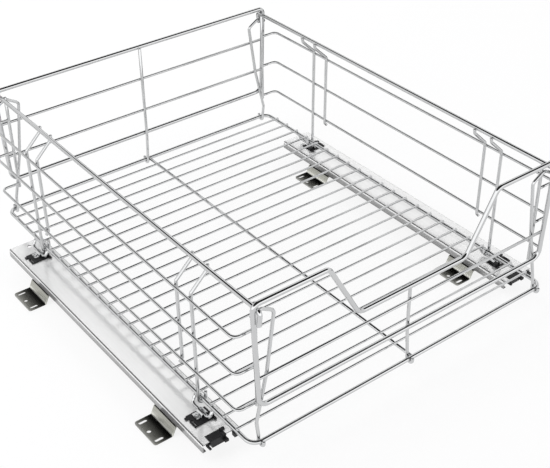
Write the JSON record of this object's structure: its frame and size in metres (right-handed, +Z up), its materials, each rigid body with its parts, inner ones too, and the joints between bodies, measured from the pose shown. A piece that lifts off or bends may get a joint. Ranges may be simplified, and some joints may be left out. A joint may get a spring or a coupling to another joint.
{
  "type": "pull out cabinet basket",
  "caption": "Chrome wire basket with a scooped front rim, clipped on two ball-bearing slides that lie on Z-shaped cabinet feet and pull it forward.",
  "frame": {"origin": "On the cabinet floor, under the middle of the object's outline (underside of the feet at z = 0).", "axes": "+Z up, -Y is the front with the scooped rim and the direction it pulls out, +X to the right as seen from the front."},
  "size_m": [0.5116, 0.5476, 0.2123],
  "materials": {
    "chrome_wire": "bright chrome plate on steel wire",
    "zinc_steel": "zinc-plated sheet steel, satin",
    "black_plastic": "black moulded plastic, satin",
    "bright_steel": "bright zinc-plated steel",
    "cage_steel": "thin pressed steel strip",
    "ball_steel": "polished bearing steel"
  },
  "bodies": {
    "cabinet_base": {"slide_base_left": "zinc_steel", "slide_base_right": "zinc_steel", "foot_left_front": "zinc_steel", "foot_left_rear": "zinc_steel", "foot_right_front": "zinc_steel", "foot_right_rear": "zinc_steel", "foot_rivets": "bright_steel"},
    "middle_members": {"slide_mid_left": "zinc_steel", "slide_mid_right": "zinc_steel"},
    "upper_cages": {"cage_upper_left": "cage_steel", "cage_upper_right": "cage_steel", "balls_upper_left": "ball_steel", "balls_upper_right": "ball_steel"},
    "lower_cages": {"cage_lower_left": "cage_steel", "cage_lower_right": "cage_steel", "balls_lower_left": "ball_steel", "balls_lower_right": "ball_steel"},
    "basket": {"bottom_frame": "chrome_wire", "floor_wires": "chrome_wire", "centre_runner": "chrome_wire", "clip_feet": "chrome_wire", "front_frame": "chrome_wire", "front_thin_wire": "chrome_wire", "front_centre_wire": "chrome_wire", "back_frame": "chrome_wire", "back_thin_wires": "chrome_wire", "back_centre_wire": "chrome_wire", "corner_wires_left": "chrome_wire", "corner_wires_right": "chrome_wire", "side_rim_left": "chrome_wire", "side_rim_right": "chrome_wire", "side_wires_left": "chrome_wire", "side_wires_right": "chrome_wire", "end_posts_left": "chrome_wire", "end_posts_right": "chrome_wire", "braces_long_left": "chrome_wire", "braces_long_right": "chrome_wire", "braces_short_left": "chrome_wire", "braces_short_right": "chrome_wire", "slide_top_left": "zinc_steel", "slide_top_right": "zinc_steel", "end_stop_left": "black_plastic", "end_stop_right": "black_plastic", "clip_bases_left": "black_plastic", "clip_bases_right": "black_plastic", "clip_plates_left": "bright_steel", "clip_plates_right": "bright_steel", "clip_screws": "bright_steel"}
  },
  "joints": [
    {"name": "pull_out", "type": "slide", "parent": "cabinet_base", "child": "basket", "axis": [0, -1, 0], "range_m": [0, 0.4]},
    {"name": "middle_slide", "type": "slide", "parent": "cabinet_base", "child": "middle_members", "axis": [0, -1, 0], "range_m": [0, 0.2]},
    {"name": "upper_cage_roll", "type": "slide", "parent": "cabinet_base", "child": "upper_cages", "axis": [0, -1, 0], "range_m": [0, 0.3]},
    {"name": "lower_cage_roll", "type": "slide", "parent": "cabinet_base", "child": "lower_cages", "axis": [0, -1, 0], "range_m": [0, 0.1]}
  ],
  "couplings": [
    {"joint": "middle_slide", "follows": "pull_out", "ratio": 0.5},
    {"joint": "upper_cage_roll", "follows": "pull_out", "ratio": 0.75},
    {"joint": "lower_cage_roll", "follows": "pull_out", "ratio": 0.25}
  ]
}
